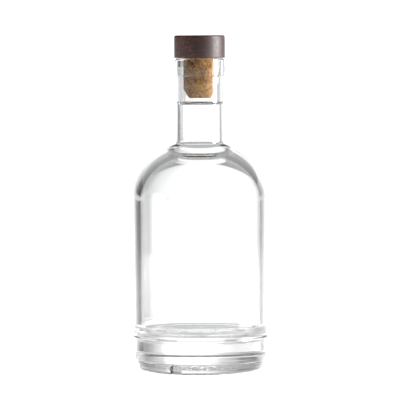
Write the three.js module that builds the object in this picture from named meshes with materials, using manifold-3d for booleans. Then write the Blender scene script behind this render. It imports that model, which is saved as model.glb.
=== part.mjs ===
// Clear glass spirit bottle with a wooden-headed cork stopper, in millimetres, +Z up.
// The origin is the centre of the flat ring that the bottle stands on.

import * as THREE from 'three';
import { mergeVertices } from 'three/addons/utils/BufferGeometryUtils.js';
import Module from 'manifold-3d';

const wasm = await Module();
wasm.setup();

// Glass body: radii and walls
const bodyRadius = 42;
const bodyWall = 4.8;
const bodyHeight = 82.6;      // straight wall, from the groove to the start of the shoulder
const shoulderHeight = 37.5;  // semi-axis of the domed shoulder
const shoulderWall = 7;

// Heavy base, from the bearing ring upwards
const bearingWidth = 4.5;     // flat ring that rests on the table
const heelRadius = 3.8;
const footWallHeight = 2;     // straight part of the foot above its rounded heel
const footInset = 2.3;        // step between the foot and the band above it
const puntDepth = 3.2;        // hollow under the base
const bandHeight = 13;
const bandInset = 0.4;        // the band is this much slimmer than the body
const beadHeight = 2.5;
const grooveHeight = 1.1;
const grooveDepth = 0.6;
const grooveFlank = 0.3;      // height of each slanting side of the groove
const floorThickness = 22.4;  // solid glass under the hollow
const floorCorner = 6;

// Index notch in the heel, which turns the bottle to a known side on a filling line
const notchWidth = 6.4;
const notchSide = 3;          // straight side under the notch's round roof
const notchDepth = 4;
const notchTurn = THREE.MathUtils.degToRad(-24);  // from the front, towards the left

// Neck, collar and mouth ring
const boreRadius = 11;
const boreLead = 0.8;         // rounded entry of the bore
const boreStep = 0.7;         // half the height of the slope at the lower end of the bore
const mouthWall = 2.95;       // glass between the bore and the top of the neck
const neckFlare = 0.6;        // the neck widens this much towards the shoulder
const neckFillet = 1.5;
const neckInnerFillet = 10;   // inside, where the neck opens into the dome
const neckHeight = 23.6;      // from the top of the fillet to the collar
const neckWall = 1.8;
const collarStep = 0.4;
const collarHeight = 16.8;
const ringStep = 1.25;
const ringHeight = 11.1;
const ringRound = 1.3;
const ringBarrel = 0.2;       // the ring is this much fuller at the middle than at its ends

// Stopper
const capOverhang = 0.1;
const capCrown = 9;           // wood above the recess
const capTopRound = 1.1;
const capBottomRound = 0.5;
const capSeat = 0.3;          // gap between the head and the rim
const corkFit = 0.9;          // radial gap between the cork and the bore
const corkReach = 24.4;       // length of the cork below the rim
const corkChamfer = 5.6;      // along the cork
const corkChamferInset = 3.2; // across the cork
const recessDepth = 5;        // the cork's seat in the head
const glueGap = 0.3;          // around and above the cork in the head's recess

// Facets
const bodySides = 48;
const stopperSides = 40;
const arcSteps = 4;
const puntSteps = 6;
const domeSteps = 11;

// Radii and heights that follow from them
const bandRadius = bodyRadius - bandInset;
const footRadius = bandRadius - footInset;
const hollowRadius = bodyRadius - bodyWall;
const neckTopRadius = boreRadius + mouthWall;
const neckBaseRadius = neckTopRadius + neckFlare;
const collarRadius = neckTopRadius + collarStep;
const ringRadius = collarRadius + ringStep;
const capRadius = ringRadius + capOverhang;
const corkRadius = boreRadius - corkFit;
const footHeight = heelRadius + footWallHeight;
const grooveBottom = footHeight + bandHeight + beadHeight;
const bodyBottom = grooveBottom + grooveHeight;
const shoulderBase = bodyBottom + bodyHeight;

// Points on an arc of an ellipse, from one angle to another, both in degrees
function arc(centreR, centreZ, radiusR, radiusZ, from, to, steps) {
  const points = [];
  for (let i = 0; i <= steps; i++) {
    const angle = THREE.MathUtils.degToRad(from + ((to - from) * i) / steps);
    points.push(new THREE.Vector2(
      centreR + radiusR * Math.cos(angle),
      centreZ + radiusZ * Math.sin(angle),
    ));
  }
  return points;
}

const roundArc = (centreR, centreZ, radius, from, to) =>
  arc(centreR, centreZ, radius, radius, from, to, arcSteps);

const at = (r, z) => new THREE.Vector2(r, z);

// The fillet between a neck and a dome: where its centre is and how far round each one it reaches.
// The dome is a quarter ellipse of semi-axes domeR and domeZ, centred on the axis at shoulderBase.
function neckJoint(domeR, domeZ, neckRadius, fillet) {
  const centreR = neckRadius + fillet;
  let low = 0;
  let high = Math.PI / 2;
  for (let i = 0; i < 50; i++) {
    const t = (low + high) / 2;
    const normal = new THREE.Vector2(domeZ * Math.cos(t), domeR * Math.sin(t)).normalize();
    if (domeR * Math.cos(t) + fillet * normal.x > centreR) {
      low = t;
    } else {
      high = t;
    }
  }
  const normal = new THREE.Vector2(domeZ * Math.cos(low), domeR * Math.sin(low)).normalize();
  return {
    centreR,
    centreZ: shoulderBase + domeZ * Math.sin(low) + fillet * normal.y,
    domeAngle: THREE.MathUtils.radToDeg(low),
    filletAngle: THREE.MathUtils.radToDeg(Math.atan2(normal.y, normal.x)) - 180,
  };
}

const outerJoint = neckJoint(bodyRadius, shoulderHeight, neckBaseRadius, neckFillet);
const innerJoint = neckJoint(
  hollowRadius,
  shoulderHeight - shoulderWall,
  neckBaseRadius - neckWall,
  neckInnerFillet,
);
const collarBottom = outerJoint.centreZ + neckHeight;
const ringBottom = collarBottom + collarHeight;
const rimHeight = ringBottom + ringHeight;

// A closed body of revolution about +Z from points that run anticlockwise in the (radius, height) plane
function lathe(points, sides) {
  const geometry = new THREE.LatheGeometry(points, sides);
  geometry.rotateX(Math.PI / 2);
  return geometry;
}

function footProfile() {
  const ringOuter = footRadius - heelRadius;
  const ringInner = ringOuter - bearingWidth;
  return [
    at(0, puntDepth),
    ...arc(0, 0, ringInner, puntDepth, 90, 0, puntSteps).slice(1),
    ...roundArc(ringOuter, heelRadius, heelRadius, -90, 0),
    ...roundArc(bandRadius - footInset, footHeight + footInset, footInset, -90, 0),
  ];
}

function bandProfile() {
  const beadMiddle = footHeight + bandHeight + beadHeight / 2;
  return [
    ...arc(bandRadius, beadMiddle, bandInset, beadHeight / 2, -90, 90, arcSteps),
    at(bodyRadius - grooveDepth, grooveBottom + grooveFlank),
    at(bodyRadius - grooveDepth, bodyBottom - grooveFlank),
    at(bodyRadius, bodyBottom),
  ];
}

function shoulderProfile() {
  return [
    ...arc(0, shoulderBase, bodyRadius, shoulderHeight, 0, outerJoint.domeAngle, domeSteps),
    ...roundArc(outerJoint.centreR, outerJoint.centreZ, neckFillet, outerJoint.filletAngle, -180),
  ];
}

function mouthProfile() {
  const ringMiddle = ringBottom + ringHeight / 2;
  const ringEndRadius = ringRadius - ringBarrel;
  const underRound = Math.min(ringRound, ringEndRadius - collarRadius);
  return [
    at(neckTopRadius, collarBottom - collarStep),
    at(collarRadius, collarBottom + collarStep),
    ...roundArc(ringEndRadius - underRound, ringBottom + underRound, underRound, -90, 0),
    at(ringRadius, ringMiddle),
    ...roundArc(ringEndRadius - ringRound, rimHeight - ringRound, ringRound, 0, 90),
    ...roundArc(boreRadius + boreLead, rimHeight - boreLead, boreLead, 90, 180),
  ];
}

function hollowProfile() {
  const neckInner = neckBaseRadius - neckWall;
  const boreBottom = collarBottom + collarStep;
  const cornerR = hollowRadius - floorCorner;
  return [
    at(boreRadius, boreBottom + boreStep),
    at(neckInner, boreBottom - boreStep),
    ...roundArc(innerJoint.centreR, innerJoint.centreZ, neckInnerFillet, -180, innerJoint.filletAngle),
    ...arc(
      0, shoulderBase, hollowRadius, shoulderHeight - shoulderWall, innerJoint.domeAngle, 0, domeSteps,
    ),
    ...roundArc(cornerR, floorThickness + floorCorner, floorCorner, 0, -90),
    at(0, floorThickness),
  ];
}

// A geometry as a solid for cutting: only shared positions, without the flat triangles at the poles
function toSolid(geometry) {
  const bare = geometry.clone();
  bare.deleteAttribute('normal');
  bare.deleteAttribute('uv');
  const merged = mergeVertices(bare, 1e-4);
  const index = merged.index.array;
  const triVerts = [];
  for (let i = 0; i < index.length; i += 3) {
    const [a, b, c] = [index[i], index[i + 1], index[i + 2]];
    if (a !== b && b !== c && c !== a) {
      triVerts.push(a, b, c);
    }
  }
  return new wasm.Manifold(new wasm.Mesh({
    numProp: 3,
    vertProperties: new Float32Array(merged.attributes.position.array),
    triVerts: new Uint32Array(triVerts),
  }));
}

function toGeometry(solid) {
  const mesh = solid.getMesh();
  const geometry = new THREE.BufferGeometry();
  geometry.setAttribute('position', new THREE.BufferAttribute(mesh.vertProperties, 3));
  geometry.setIndex(new THREE.BufferAttribute(mesh.triVerts, 1));
  geometry.computeVertexNormals();
  return geometry;
}

// The notch is a short tunnel with a round roof, cut into the heel from outside and below
function notchCutter() {
  const overrun = 2;
  const half = notchWidth / 2;
  const outline = new THREE.Shape();
  outline.moveTo(-half, -overrun);
  outline.lineTo(half, -overrun);
  outline.lineTo(half, notchSide);
  outline.absarc(0, notchSide, half, 0, Math.PI, false);
  outline.closePath();
  const cutter = new THREE.ExtrudeGeometry(outline, {
    depth: notchDepth + overrun,
    bevelEnabled: false,
    curveSegments: arcSteps * 2,
  });
  cutter.rotateX(Math.PI / 2);
  cutter.translate(0, notchDepth - footRadius, 0);
  cutter.rotateZ(notchTurn);
  return cutter;
}

function glassBottle() {
  const profile = [
    ...footProfile(),
    ...bandProfile(),
    ...shoulderProfile(),
    ...mouthProfile(),
    ...hollowProfile(),
  ];
  const blown = toSolid(lathe(profile, bodySides));
  return toGeometry(blown.subtract(toSolid(notchCutter())));
}

function woodenCap() {
  const bottom = rimHeight + capSeat;
  const top = bottom + recessDepth + capCrown;
  const recessRadius = corkRadius + glueGap;
  return lathe([
    at(0, bottom + recessDepth),
    at(recessRadius, bottom + recessDepth),
    at(recessRadius, bottom),
    ...roundArc(capRadius - capBottomRound, bottom + capBottomRound, capBottomRound, -90, 0),
    ...roundArc(capRadius - capTopRound, top - capTopRound, capTopRound, 0, 90),
    at(0, top),
  ], stopperSides);
}

function corkStem() {
  const bottom = rimHeight - corkReach;
  const top = rimHeight + capSeat + recessDepth - glueGap;
  return lathe([
    at(0, bottom),
    at(corkRadius - corkChamferInset, bottom),
    at(corkRadius, bottom + corkChamfer),
    at(corkRadius, top),
    at(0, top),
  ], stopperSides);
}

function piece(name, geometry, colour, roughness) {
  const mesh = new THREE.Mesh(
    geometry,
    new THREE.MeshStandardMaterial({ color: colour, roughness, metalness: 0 }),
  );
  mesh.name = name;
  return mesh;
}

const glass = piece('glass_bottle', glassBottle(), 0xf4f7f7, 0.03);
glass.material.transparent = true;
glass.material.opacity = 0.35;

const stopper = new THREE.Group();
stopper.name = 'stopper';
stopper.add(piece('wooden_cap', woodenCap(), 0x472a24, 0.55));
stopper.add(piece('cork_stem', corkStem(), 0xb98a55, 0.85));

const bottle = new THREE.Group();
bottle.name = 'spirit_bottle';
bottle.add(glass, stopper);

export default bottle;
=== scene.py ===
# Clear glass spirit bottle with a wooden-headed cork stopper, on a plain white studio floor.
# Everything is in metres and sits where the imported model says.

import math

import bpy
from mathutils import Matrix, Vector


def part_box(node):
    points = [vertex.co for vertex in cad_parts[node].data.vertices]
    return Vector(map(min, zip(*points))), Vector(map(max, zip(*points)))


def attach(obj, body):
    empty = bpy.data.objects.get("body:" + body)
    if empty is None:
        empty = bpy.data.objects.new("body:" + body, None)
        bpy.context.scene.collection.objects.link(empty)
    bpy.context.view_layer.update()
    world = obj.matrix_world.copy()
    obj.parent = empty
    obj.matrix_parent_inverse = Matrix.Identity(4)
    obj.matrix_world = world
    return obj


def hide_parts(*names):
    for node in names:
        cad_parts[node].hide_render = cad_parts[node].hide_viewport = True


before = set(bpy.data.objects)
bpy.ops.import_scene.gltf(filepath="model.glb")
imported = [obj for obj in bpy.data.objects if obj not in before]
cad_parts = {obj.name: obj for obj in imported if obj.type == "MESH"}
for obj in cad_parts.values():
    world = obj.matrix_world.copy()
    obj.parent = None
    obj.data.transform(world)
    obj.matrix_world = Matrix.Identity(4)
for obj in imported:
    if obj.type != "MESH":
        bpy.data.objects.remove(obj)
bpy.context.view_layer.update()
print("frame loaded:", len(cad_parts), "nodes")

mm = 0.001
mergeDistance = 0.002 * mm
capLow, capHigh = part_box("wooden_cap")
corkLow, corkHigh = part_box("cork_stem")


# Tools for modelling

def clearSelection():
    if bpy.context.object and bpy.context.object.mode != "OBJECT":
        bpy.ops.object.mode_set(mode="OBJECT")
    bpy.ops.object.select_all(action="DESELECT")


# Leaves edit mode on, with only the faces that pass the test selected
def pickFaces(obj, test):
    bpy.ops.mesh.select_mode(type="FACE")
    bpy.ops.mesh.select_all(action="DESELECT")
    bpy.ops.object.mode_set(mode="OBJECT")
    for face in obj.data.polygons:
        face.select = test(face)
    bpy.ops.object.mode_set(mode="EDIT")


def arc(centreR, centreZ, radiusR, radiusZ, start, end, steps):
    points = []
    for i in range(steps + 1):
        angle = math.radians(start + (end - start) * i / steps)
        points.append((centreR + radiusR * math.cos(angle), centreZ + radiusZ * math.sin(angle)))
    return points


def roundArc(centreR, centreZ, radius, start, end, steps=8):
    return arc(centreR, centreZ, radius, radius, start, end, steps)


# Adds points to each long straight stretch: close to both ends, so that smooth shading keeps it
# straight, and in between. A stretch that is short beside the hold stays as it is.
def holdStraights(outline, hold, longest):
    shortStretch = 8 * hold
    points = [outline[0]]
    for (fromR, fromZ), (toR, toZ) in zip(outline, outline[1:]):
        length = math.hypot(toR - fromR, toZ - fromZ)
        places = []
        if length > shortStretch:
            count = math.ceil(length / longest)
            places = [hold / length]
            places += [k / count for k in range(1, count)]
            places += [1 - hold / length]
        places.append(1)
        for t in places:
            points.append((fromR + (toR - fromR) * t, fromZ + (toZ - fromZ) * t))
    return points


# Draws an outline in the XZ plane by extruding one point along the list, and spins it about Z
def turnPiece(name, outline, steps):
    clearSelection()
    startR, startZ = outline[0]
    bpy.ops.mesh.primitive_plane_add(size=mm, location=(startR, 0, startZ))
    obj = bpy.context.object
    obj.name = name
    bpy.ops.object.transform_apply(location=True, rotation=True, scale=True)
    bpy.ops.object.mode_set(mode="EDIT")
    bpy.ops.mesh.select_mode(type="VERT")
    bpy.ops.mesh.select_all(action="SELECT")
    bpy.ops.mesh.merge(type="CENTER")
    for (fromR, fromZ), (toR, toZ) in zip(outline, outline[1:]):
        step = (toR - fromR, 0, toZ - fromZ)
        bpy.ops.mesh.extrude_region_move(TRANSFORM_OT_translate={"value": step})
    bpy.ops.mesh.select_all(action="SELECT")
    bpy.ops.mesh.spin(steps=steps, angle=math.tau, center=(0, 0, 0), axis=(0, 0, 1))
    bpy.ops.mesh.select_all(action="SELECT")
    bpy.ops.mesh.remove_doubles(threshold=mergeDistance)
    bpy.ops.mesh.normals_make_consistent(inside=False)
    bpy.ops.object.mode_set(mode="OBJECT")
    return obj


def finishPiece(obj, material, node, body):
    obj.data.materials.clear()
    obj.data.materials.append(material)
    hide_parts(node)
    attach(obj, body)


# Tools for materials

def newMaterial(name):
    material = bpy.data.materials.new(name)
    material.use_nodes = True
    nodes = material.node_tree.nodes
    return material, nodes, material.node_tree.links, nodes["Principled BSDF"]


def addNode(nodes, kind, **values):
    node = nodes.new(kind)
    for key, value in values.items():
        if hasattr(node, key):
            setattr(node, key, value)
        else:
            node.inputs[key.replace("_", " ")].default_value = value
    return node


def addRamp(nodes, stops):
    ramp = nodes.new("ShaderNodeValToRGB")
    elements = ramp.color_ramp.elements
    while len(elements) < len(stops):
        elements.new(0.5)
    for element, (place, colour) in zip(elements, stops):
        element.position = place
        element.color = (*colour, 1)
    return ramp


# Joins sockets to a maths node, or types numbers into it
def mathNode(nodes, links, operation, first, second=None, third=None):
    node = nodes.new("ShaderNodeMath")
    node.operation = operation
    for slot, value in enumerate((first, second, third)):
        if value is None:
            continue
        if isinstance(value, (int, float)):
            node.inputs[slot].default_value = value
        else:
            links.new(value, node.inputs[slot])
    return node.outputs[0]


# Turns one range of values softly into another, whose ends may be sockets too
def rangeNode(nodes, links, value, fromLow, fromHigh, toLow, toHigh):
    ends = {"From Min": fromLow, "From Max": fromHigh, "To Min": toLow, "To Max": toHigh}
    node = nodes.new("ShaderNodeMapRange")
    node.interpolation_type = "SMOOTHSTEP"
    links.new(value, node.inputs["Value"])
    for name, number in ends.items():
        if isinstance(number, (int, float)):
            node.inputs[name].default_value = number
        else:
            links.new(number, node.inputs[name])
    return node.outputs["Result"]


# Glass bottle: one blown piece, outside and inside in one closed outline

glassSet = {
    "bodyRadius": 42 * mm,
    "bodyWall": 4.8 * mm,
    "bodyHeight": 82.6 * mm,
    "shoulderHeight": 37.5 * mm,
    "shoulderWall": 7 * mm,
    "bearingWidth": 4.5 * mm,
    "heelRadius": 3.8 * mm,
    "footWallHeight": 2 * mm,
    "footInset": 2.3 * mm,
    "puntDepth": 3.2 * mm,
    "bandHeight": 13 * mm,
    "bandInset": 0.4 * mm,
    "beadHeight": 2.5 * mm,
    "grooveHeight": 1.1 * mm,
    "floorThickness": 22.4 * mm,
    "floorCorner": 6 * mm,
    "boreRadius": 11 * mm,
    "boreLead": 0.8 * mm,
    "boreStep": 0.7 * mm,
    "mouthWall": 2.95 * mm,
    "neckFlare": 0.6 * mm,
    "neckFillet": 1.5 * mm,
    "neckInnerFillet": 10 * mm,
    "neckHeight": 23.6 * mm,
    "neckWall": 1.8 * mm,
    "collarStep": 0.4 * mm,
    "collarHeight": 16.8 * mm,
    "ringStep": 1.25 * mm,
    "ringHeight": 11.1 * mm,
    "ringRound": 1.3 * mm,
    "ringBarrel": 0.2 * mm,
    "notchWidth": 6.4 * mm,
    "notchSide": 3 * mm,
    "notchDepth": 4 * mm,
    "notchTurn": -24,          # degrees, towards the front left
    "notchVertices": 64,
    "rippleHeight": 0.7 * mm,
    "rippleSize": 3.5 * mm,
    "rippleMargin": 0.1 * mm,
    "hold": 0.25 * mm,
    "longest": 8 * mm,
    "spinSteps": 224,
    "domeSteps": 36,
    "puntSteps": 24,
    "cornerSteps": 12,
    "beadSteps": 10,
    "grooveAngle": 20,         # degrees, how far the groove's round bottom reaches up and down
    "smoothAngle": 35,
    "tint": (0.985, 0.99, 0.99, 1),
    "refraction": 1.5,
}


# Where a fillet meets a dome: its centre, the dome's angle there and the fillet's angle there.
# The dome's angle is found by halving the range that holds it.
def neckJoint(domeR, domeZ, domeBase, neckRadius, fillet):
    halvings = 50
    centreR = neckRadius + fillet
    low, high = 0, math.pi / 2
    for _ in range(halvings):
        t = (low + high) / 2
        across, up = domeZ * math.cos(t), domeR * math.sin(t)
        if domeR * math.cos(t) + fillet * across / math.hypot(across, up) > centreR:
            low = t
        else:
            high = t
    size = math.hypot(across, up)
    centreZ = domeBase + domeZ * math.sin(low) + fillet * up / size
    return centreR, centreZ, math.degrees(low), math.degrees(math.atan2(up, across)) - 180


# The outline in metres, as (radius, height), from the underside up the outside and down the inside
def bottleOutline(g):
    bandR = g["bodyRadius"] - g["bandInset"]
    footR = bandR - g["footInset"]
    footZ = g["heelRadius"] + g["footWallHeight"]
    beadZ = footZ + g["bandHeight"] + g["beadHeight"] / 2
    grooveZ = footZ + g["bandHeight"] + g["beadHeight"]
    bodyZ = grooveZ + g["grooveHeight"]
    shoulderZ = bodyZ + g["bodyHeight"]
    bearingR = footR - g["heelRadius"]
    neckTopR = g["boreRadius"] + g["mouthWall"]
    neckBaseR = neckTopR + g["neckFlare"]
    collarR = neckTopR + g["collarStep"]
    ringR = collarR + g["ringStep"]
    hollowR = g["bodyRadius"] - g["bodyWall"]
    innerHeight = g["shoulderHeight"] - g["shoulderWall"]
    fillet, innerFillet = g["neckFillet"], g["neckInnerFillet"]
    outR, outZ, outDome, outEnd = neckJoint(
        g["bodyRadius"], g["shoulderHeight"], shoulderZ, neckBaseR, fillet)
    inR, inZ, inDome, inEnd = neckJoint(
        hollowR, innerHeight, shoulderZ, neckBaseR - g["neckWall"], innerFillet)
    collarZ = outZ + g["neckHeight"]
    ringZ = collarZ + g["collarHeight"]
    mouthZ = ringZ + g["ringHeight"]
    ringEndR = ringR - g["ringBarrel"]
    underRound = min(g["ringRound"], ringEndR - collarR)
    boreZ = collarZ + g["collarStep"]
    footInset, heel, lead = g["footInset"], g["heelRadius"], g["boreLead"]
    ringRound, corner = g["ringRound"], g["floorCorner"]
    halfGroove, grooveAngle = g["grooveHeight"] / 2, g["grooveAngle"]
    domeSteps, cornerSteps = g["domeSteps"], g["cornerSteps"]
    points = arc(0, 0, bearingR - g["bearingWidth"], g["puntDepth"], 90, 0, g["puntSteps"])
    points += roundArc(bearingR, heel, heel, -90, 0, cornerSteps)
    points += roundArc(bandR - footInset, footZ + footInset, footInset, -90, 0)
    points += arc(bandR, beadZ, g["bandInset"], g["beadHeight"] / 2, -90, 90, g["beadSteps"])
    points += roundArc(
        g["bodyRadius"], grooveZ + halfGroove, halfGroove, 180 + grooveAngle, 180 - grooveAngle, 2)
    points += [(g["bodyRadius"], bodyZ)]
    points += arc(0, shoulderZ, g["bodyRadius"], g["shoulderHeight"], 0, outDome, domeSteps)
    points += roundArc(outR, outZ, fillet, outEnd, -180, cornerSteps)
    points += [(neckTopR, collarZ - g["collarStep"]), (collarR, collarZ + g["collarStep"])]
    points += roundArc(ringEndR - underRound, ringZ + underRound, underRound, -90, 0)
    points += [(ringR, (ringZ + mouthZ) / 2)]
    points += roundArc(ringEndR - ringRound, mouthZ - ringRound, ringRound, 0, 90)
    points += roundArc(g["boreRadius"] + lead, mouthZ - lead, lead, 90, 180)
    points += [(g["boreRadius"], boreZ + g["boreStep"])]
    points += [(neckBaseR - g["neckWall"], boreZ - g["boreStep"])]
    points += roundArc(inR, inZ, innerFillet, -180, inEnd, cornerSteps)
    points += arc(0, shoulderZ, hollowR, innerHeight, inDome, 0, domeSteps)
    points += roundArc(hollowR - corner, g["floorThickness"] + corner, corner, 0, -90, cornerSteps)
    points += [(0, g["floorThickness"])]
    return holdStraights(points, g["hold"], g["longest"])


def clearGlass(g):
    material, _, _, shader = newMaterial("clearGlass")
    shader.inputs["Base Color"].default_value = g["tint"]
    shader.inputs["Roughness"].default_value = 0.0
    shader.inputs["IOR"].default_value = g["refraction"]
    shader.inputs["Transmission Weight"].default_value = 1.0
    return material


# A tunnel with a round roof, from outside the foot inwards, turned to the notch's place
def notchCutter(g, footR):
    clearSelection()
    half, depth = g["notchWidth"] / 2, g["notchDepth"]
    overrun = 2 * mm
    middle = depth - footR - (depth + overrun) / 2
    bpy.ops.mesh.primitive_cylinder_add(
        vertices=g["notchVertices"], radius=half, depth=depth + overrun,
        location=(0, middle, g["notchSide"]), rotation=(math.pi / 2, 0, 0))
    cutter = bpy.context.object
    bpy.ops.object.transform_apply(location=True, rotation=True, scale=True)
    bpy.ops.object.mode_set(mode="EDIT")
    bpy.ops.mesh.select_all(action="SELECT")
    bpy.ops.mesh.bisect(
        plane_co=(0, 0, g["notchSide"]), plane_no=(0, 0, 1), use_fill=True, clear_inner=True)
    facesDown = -0.9
    pickFaces(cutter, lambda face: face.normal.z < facesDown)
    drop = (0, 0, -g["notchSide"] - overrun)
    bpy.ops.mesh.extrude_region_move(TRANSFORM_OT_translate={"value": drop})
    bpy.ops.mesh.select_all(action="SELECT")
    bpy.ops.mesh.normals_make_consistent(inside=False)
    bpy.ops.object.mode_set(mode="OBJECT")
    cutter.rotation_euler.z = math.radians(g["notchTurn"])
    bpy.ops.object.transform_apply(location=True, rotation=True, scale=True)
    return cutter


# Cuts one shape out of a piece with a boolean, and removes the cutter
def cutAway(obj, cutter):
    cut = obj.modifiers.new("cut", "BOOLEAN")
    cut.operation = "DIFFERENCE"
    cut.solver = "EXACT"
    cut.object = cutter
    clearSelection()
    bpy.context.view_layer.objects.active = obj
    obj.select_set(True)
    bpy.ops.object.modifier_apply(modifier=cut.name)
    bpy.data.objects.remove(cutter)


# The cast underside is rippled: its vertices move up by up to the ripple height, and none moves down
def rippleUnderside(obj, g, footR):
    underside = obj.vertex_groups.new(name="underside")
    highest = g["puntDepth"] + g["rippleMargin"]
    for vertex in obj.data.vertices:
        reach = math.hypot(vertex.co.x, vertex.co.y)
        if vertex.co.z < highest and reach < footR - g["heelRadius"] / 2:
            underside.add([vertex.index], 1, "REPLACE")
    ripples = bpy.data.textures.new("ripples", "VORONOI")
    ripples.noise_scale = g["rippleSize"]
    lift = obj.modifiers.new("lift", "DISPLACE")
    lift.texture = ripples
    lift.texture_coords = "LOCAL"
    lift.direction = "Z"
    lift.strength = g["rippleHeight"]
    lift.mid_level = 0
    lift.vertex_group = "underside"
    bpy.ops.object.modifier_apply(modifier=lift.name)
    obj.vertex_groups.clear()


def makeBottle():
    g = glassSet
    footR = g["bodyRadius"] - g["bandInset"] - g["footInset"]
    bottle = turnPiece("glassBottle", bottleOutline(g), g["spinSteps"])
    rippleUnderside(bottle, g, footR)
    cutAway(bottle, notchCutter(g, footR))
    bpy.ops.object.shade_smooth_by_angle(angle=math.radians(g["smoothAngle"]))
    finishPiece(bottle, clearGlass(g), "glass_bottle", "bottle")
    return bottle


bottle = makeBottle()
print("glass bottle made:", len(bottle.data.polygons), "faces")


# Stopper: a turned wooden head and a cork stem

capSet = {
    "topRound": 1.1 * mm,
    "bottomRound": 0.5 * mm,
    "recessDepth": 5 * mm,
    "recessGap": 0.3 * mm,
    "spinSteps": 160,
    "smoothAngle": 40,
    # (place along the streaks, colour), from the darkest brown to the reddest
    "tones": [
        (0.30, (0.004, 0.0012, 0.001)),
        (0.52, (0.014, 0.0045, 0.0032)),
        (0.74, (0.058, 0.018, 0.012)),
    ],
    "poreShade": [(0.36, (0.5, 0.5, 0.5)), (0.47, (1, 1, 1))],
    "streakRange": (0.3, 0.7),   # the part of the streaks over which the polish changes
    "poreDepth": 0.06 * mm,
    "poreStrength": 0.35,
    "dull": 0.56,
    "polished": 0.42,
    "specular": 0.3,
}

corkSet = {
    "chamfer": 5.6 * mm,
    "chamferInset": 3.2 * mm,
    "faceSize": 0.45 * mm,
    "spinSteps": 144,
    "smoothAngle": 40,
    "skinGrain": 0.9 * mm,
    "skinDepth": 0.12 * mm,
    "skinMiddle": 0.6,
    "granules": 1400,          # to the metre
    "granuleShare": 0.35,
    "cloudShare": 0.8,
    # (place, colour): dark bark, brown, tan and the palest cork
    "tones": [
        (0.30, (0.10, 0.028, 0.004)),
        (0.47, (0.24, 0.092, 0.016)),
        (0.66, (0.48, 0.24, 0.055)),
        (0.88, (0.78, 0.5, 0.18)),
    ],
    "roughness": 0.85,
    "jointWidth": 0.12,
    "jointDepth": 0.12 * mm,
    "jointStrength": 0.8,
}


# Cloudy noise fixed to the piece, which can be stretched along an axis
def objectNoise(nodes, links, scale, detail, roughness, stretch=(1, 1, 1)):
    coordinates = nodes.new("ShaderNodeTexCoord")
    mapping = addNode(nodes, "ShaderNodeMapping", Scale=stretch)
    noise = addNode(nodes, "ShaderNodeTexNoise", Scale=scale, Detail=detail, Roughness=roughness)
    links.new(coordinates.outputs["Object"], mapping.inputs["Vector"])
    links.new(mapping.outputs["Vector"], noise.inputs["Vector"])
    return noise.outputs["Fac"]


# Stained hardwood: streaks along the grain, which runs across the head, and fine open pores
def darkWood():
    material, nodes, links, shader = newMaterial("darkWood")
    streaks = objectNoise(nodes, links, scale=700, detail=5, roughness=0.65, stretch=(0.12, 1, 1))
    pores = objectNoise(nodes, links, scale=2600, detail=2, roughness=0.5, stretch=(0.25, 1, 1))
    ramp = addRamp(nodes, capSet["tones"])
    links.new(streaks, ramp.inputs["Fac"])
    poreMask = addRamp(nodes, capSet["poreShade"])
    links.new(pores, poreMask.inputs["Fac"])
    shade = addNode(nodes, "ShaderNodeVectorMath", operation="MULTIPLY")
    links.new(ramp.outputs["Color"], shade.inputs[0])
    links.new(poreMask.outputs["Color"], shade.inputs[1])
    links.new(shade.outputs["Vector"], shader.inputs["Base Color"])
    gloss = rangeNode(
        nodes, links, streaks, *capSet["streakRange"], capSet["dull"], capSet["polished"])
    links.new(gloss, shader.inputs["Roughness"])
    shader.inputs["Specular IOR Level"].default_value = capSet["specular"]
    bump = addNode(
        nodes, "ShaderNodeBump", Strength=capSet["poreStrength"], Distance=capSet["poreDepth"])
    links.new(pores, bump.inputs["Height"])
    links.new(bump.outputs["Normal"], shader.inputs["Normal"])
    return material


# Pressed cork granules: each granule has its own tone, with dark bark specks and open joints
def paleCork():
    material, nodes, links, shader = newMaterial("paleCork")
    coordinates = nodes.new("ShaderNodeTexCoord")
    granules = addNode(nodes, "ShaderNodeTexVoronoi", Scale=corkSet["granules"], Randomness=1.0)
    links.new(coordinates.outputs["Object"], granules.inputs["Vector"])
    tone = nodes.new("ShaderNodeSeparateColor")
    links.new(granules.outputs["Color"], tone.inputs["Color"])
    clouds = objectNoise(nodes, links, scale=260, detail=4, roughness=0.6)
    mixed = mathNode(nodes, links, "MULTIPLY", tone.outputs[0], corkSet["granuleShare"])
    mixed = mathNode(nodes, links, "MULTIPLY_ADD", clouds, corkSet["cloudShare"], mixed)
    ramp = addRamp(nodes, corkSet["tones"])
    links.new(mixed, ramp.inputs["Fac"])
    links.new(ramp.outputs["Color"], shader.inputs["Base Color"])
    shader.inputs["Roughness"].default_value = corkSet["roughness"]
    joints = addNode(
        nodes, "ShaderNodeTexVoronoi", feature="DISTANCE_TO_EDGE", Scale=corkSet["granules"])
    links.new(coordinates.outputs["Object"], joints.inputs["Vector"])
    depth = rangeNode(
        nodes, links, joints.outputs["Distance"], 0.0, corkSet["jointWidth"], 0.0, 1.0)
    bump = addNode(
        nodes, "ShaderNodeBump", Strength=corkSet["jointStrength"], Distance=corkSet["jointDepth"])
    links.new(depth, bump.inputs["Height"])
    links.new(bump.outputs["Normal"], shader.inputs["Normal"])
    return material


def makeCap():
    radius = capHigh.x
    bottom, top = capLow.z, capHigh.z
    recessR = corkHigh.x + capSet["recessGap"]
    recessZ = bottom + capSet["recessDepth"]
    lower, upper = capSet["bottomRound"], capSet["topRound"]
    outline = [(0, recessZ), (recessR, recessZ), (recessR, bottom)]
    outline += roundArc(radius - lower, bottom + lower, lower, -90, 0)
    outline += roundArc(radius - upper, top - upper, upper, 0, 90)
    outline += [(0, top)]
    cap = turnPiece("woodenCap", outline, capSet["spinSteps"])
    bpy.ops.object.shade_smooth_by_angle(angle=math.radians(capSet["smoothAngle"]))
    finishPiece(cap, darkWood(), "wooden_cap", "stopper")
    return cap


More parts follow.
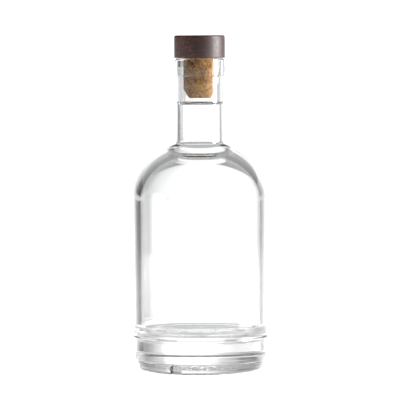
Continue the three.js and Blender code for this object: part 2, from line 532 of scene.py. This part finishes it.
# Pushes the cork's skin in and out a little, granule by granule, and never past the cork's own size
def makeCork():
    radius = corkHigh.x - corkSet["skinDepth"] / 2
    bottom, top = corkLow.z, corkHigh.z
    faceSize = corkSet["faceSize"]
    outline = [(0, bottom), (radius - corkSet["chamferInset"], bottom)]
    outline += [(radius, bottom + corkSet["chamfer"]), (radius, top), (0, top)]
    outline = holdStraights(outline, faceSize, faceSize)
    cork = turnPiece("corkStem", outline, corkSet["spinSteps"])
    grain = bpy.data.textures.new("corkGrain", "VORONOI")
    grain.noise_scale = corkSet["skinGrain"]
    rough = cork.modifiers.new("rough", "DISPLACE")
    rough.texture = grain
    rough.texture_coords = "LOCAL"
    rough.strength = corkSet["skinDepth"]
    rough.mid_level = corkSet["skinMiddle"]
    bpy.ops.object.modifier_apply(modifier=rough.name)
    bpy.ops.object.shade_smooth_by_angle(angle=math.radians(corkSet["smoothAngle"]))
    finishPiece(cork, paleCork(), "cork_stem", "stopper")
    return cork


cap = makeCap()
cork = makeCork()
print("stopper made:", len(cap.data.polygons), "and", len(cork.data.polygons), "faces")


# Studio: white floor, a lit surround with grey flags beside the backdrop, and two tall softboxes

studioSet = {
    "floorSize": 16.0,
    "floorColour": (0.9, 0.9, 0.9, 1),
    "floorRoughness": 0.9,
    # (angle in degrees, brightness): 0 is behind the bottle, 90 on its right, 180 on the camera's side
    "brightest": 7,
    "around": [
        (-180, 0.16), (-115, 0.16), (-105, 0.6), (-76, 0.6), (-56, 0.5), (-49, 0.2),
        (-45, 0.05), (-40, 0.05), (-35, 0.1), (-26, 0.15), (-23, 0.32), (-19, 0.45), (-16, 0.55),
        (-12, 0.68), (-9, 0.9), (-5, 1.05), (-1, 1.35), (19, 1.35), (22, 1.0), (25, 0.7), (35, 0.45),
        (43, 0.32), (55, 0.5), (70, 0.7), (74, 7), (100, 7), (108, 0.16), (180, 0.16),
    ],
    "aroundBase": [
        (-180, 0.03), (-115, 0.03), (-105, 0.6), (-80, 0.6), (-76, 0.65), (-63, 0.6), (-61, 0.36),
        (-54, 0.36), (-52, 1.0), (-40, 1.0), (-38, 0.84), (-22, 0.82), (-14, 1.0), (-8, 1.3), (21, 1.3),
        (26, 0.82), (30, 0.66), (34, 0.48), (41, 0.28), (46, 0.27), (49, 0.06), (57, 0.08),
        (61, 0.3), (70, 0.3), (74, 7), (100, 7), (108, 0.03), (180, 0.03),
    ],
    # Each edge is a range of steepness, down (-1) to up (1), in which one zone fades into the next
    "baseEdge": (-0.103, -0.098),
    "tableEdge": (-0.19, -0.15),
    "lowStripes": 8,           # pairs of a grey and a white stripe on the table
    "lowStripeEdge": (-0.6, -0.2),   # where the wave of stripes turns from grey to white
    "lowGrey": 0.65,
    "lowWhite": 1.25,
    "deepEdge": (-0.55, -0.5),
    "deepLevel": 1.0,
    "lowEdge": (-0.42, -0.34),
    "lowSides": (32, 40),      # degrees from straight behind, as are the other sides
    "lowBehind": 0.5,
    "neckEdge": (-0.047, -0.040),
    "neckTop": (0.03, 0.06),
    "neckSides": (112, 120),
    "neckLevel": 0.62,
    "upperEdge": (0.24, 0.28),
    "upperBehind": 0.35,
    "upperSides": (25, 50),
    "upperSide": 0.15,
    "stripSize": (0.35, 1.0),
    "rightStrip": (1.0, -0.12, 0.45),
    "leftStrip": (-1.0, -0.05, 0.45),
    "rightPower": 60,
    "leftPower": 32,
    "sunPower": 3.3,
    "sunWidth": 50,
}

cameraSet = {
    "aim": (-0.0001, 0, 0.105),
    "elevation": 3.3,
    "distance": 2.0,
    "pixelSize": 0.6204 * mm,
    "pixels": 400,
    "roll": 0.25,
    "farthest": 100,
    "bounces": 24,
    "glossyBounces": 8,
    "clearBounces": 16,
}


# The light around the bottle. It is what clear glass shows: white behind, grey flags at the sides,
# and other levels for the base, the neck, the table and the ceiling. Seen directly it is white.
def makeSurround():
    world = bpy.data.worlds.new("surround")
    bpy.context.scene.world = world
    world.use_nodes = True
    nodes, links = world.node_tree.nodes, world.node_tree.links
    coordinates = nodes.new("ShaderNodeTexCoord")
    split = nodes.new("ShaderNodeSeparateXYZ")
    links.new(coordinates.outputs["Generated"], split.inputs[0])
    x, y, z = split.outputs
    turn = mathNode(nodes, links, "ARCTAN2", x, y)
    side = mathNode(nodes, links, "ABSOLUTE", turn)

    def fade(value, edge, before, after):
        return rangeNode(nodes, links, value, *edge, before, after)

    def fadeSideways(name, behind, beside):
        edge = [math.radians(angle) for angle in studioSet[name]]
        return fade(side, edge, behind, beside)

    place = mathNode(nodes, links, "MULTIPLY_ADD", turn, 1 / math.tau, 0.5)

    # A ramp holds 0 to 1, so the levels are divided by the brightest and multiplied again
    def levelAround(name):
        brightest = studioSet["brightest"]
        stops = []
        for angle, level in studioSet[name]:
            stops.append(((angle + 180) / 360, [level / brightest] * 3))
        ramp = addRamp(nodes, stops)
        links.new(place, ramp.inputs["Fac"])
        return mathNode(nodes, links, "MULTIPLY", ramp.outputs["Color"], brightest)

    level = fade(z, studioSet["baseEdge"], levelAround("aroundBase"), levelAround("around"))
    neckLevel = fadeSideways("neckSides", studioSet["neckLevel"], 0.0)
    neckLevel = mathNode(nodes, links, "MAXIMUM", level, neckLevel)
    neckLevel = fade(z, studioSet["neckTop"], neckLevel, level)
    level = fade(z, studioSet["neckEdge"], level, neckLevel)
    wave = mathNode(nodes, links, "MULTIPLY", turn, studioSet["lowStripes"])
    wave = mathNode(nodes, links, "COSINE", wave)
    low = fade(wave, studioSet["lowStripeEdge"], studioSet["lowGrey"], studioSet["lowWhite"])
    low = fade(z, studioSet["deepEdge"], studioSet["deepLevel"], low)
    lowBehind = fadeSideways("lowSides", studioSet["lowBehind"], low)
    low = fade(z, studioSet["lowEdge"], lowBehind, low)
    level = fade(z, studioSet["tableEdge"], low, level)
    upper = fadeSideways("upperSides", studioSet["upperBehind"], studioSet["upperSide"])
    level = fade(z, studioSet["upperEdge"], level, upper)
    camera = nodes.new("ShaderNodeLightPath").outputs["Is Camera Ray"]
    seen = mathNode(nodes, links, "MAXIMUM", level, camera)
    links.new(seen, nodes["Background"].inputs["Color"])


# Lights the floor and the stopper from above, and leaves no spot on the glass
def addSun():
    light = bpy.data.lights.new("sun", "SUN")
    light.energy = studioSet["sunPower"]
    light.angle = math.radians(studioSet["sunWidth"])
    sun = bpy.data.objects.new("sun", light)
    bpy.context.collection.objects.link(sun)
    sun.visible_glossy = False
    sun.visible_transmission = False


# A tall softbox beside the bottle, which lights the stopper's side and may mirror in polished parts
def addStrip(name, place, power, glossy):
    light = bpy.data.lights.new(name, "AREA")
    light.shape = "RECTANGLE"
    light.size, light.size_y = studioSet["stripSize"]
    light.energy = power
    strip = bpy.data.objects.new(name, light)
    bpy.context.collection.objects.link(strip)
    x, y = place[:2]
    strip.location = place
    strip.rotation_euler = (math.pi / 2, 0, math.atan2(x, -y))
    strip.visible_camera = False
    strip.visible_transmission = False
    strip.visible_glossy = glossy


def makeFloor():
    clearSelection()
    bpy.ops.mesh.primitive_plane_add(size=studioSet["floorSize"], location=(0, 0, 0))
    floor = bpy.context.object
    floor.name = "studioFloor"
    material, _, _, shader = newMaterial("whiteFloor")
    shader.inputs["Base Color"].default_value = studioSet["floorColour"]
    shader.inputs["Roughness"].default_value = studioSet["floorRoughness"]
    floor.data.materials.append(material)
    floor.visible_transmission = False


def makeCamera(c):
    data = bpy.data.cameras.new("camera")
    camera = bpy.data.objects.new("camera", data)
    bpy.context.collection.objects.link(camera)
    rise = math.radians(c["elevation"])
    back, up = c["distance"] * math.cos(rise), c["distance"] * math.sin(rise)
    aimX, aimY, aimZ = c["aim"]
    camera.location = (aimX, aimY - back, aimZ + up)
    camera.rotation_euler = (math.pi / 2 - rise, 0, 0)
    camera.rotation_euler.rotate_axis("Z", math.radians(-c["roll"]))
    data.angle = 2 * math.atan(c["pixelSize"] * c["pixels"] / 2 / c["distance"])
    data.clip_end = c["farthest"]
    bpy.context.scene.camera = camera


makeSurround()
makeFloor()
addSun()
addStrip("rightStrip", studioSet["rightStrip"], studioSet["rightPower"], True)
addStrip("leftStrip", studioSet["leftStrip"], studioSet["leftPower"], False)
makeCamera(cameraSet)

# Light needs many steps to get through several walls of glass
scene = bpy.context.scene
scene.view_settings.view_transform = "Standard"
scene.cycles.max_bounces = cameraSet["bounces"]
scene.cycles.transmission_bounces = cameraSet["bounces"]
scene.cycles.glossy_bounces = cameraSet["glossyBounces"]
scene.cycles.transparent_max_bounces = cameraSet["clearBounces"]
scene.cycles.use_denoising = True
print("studio made")
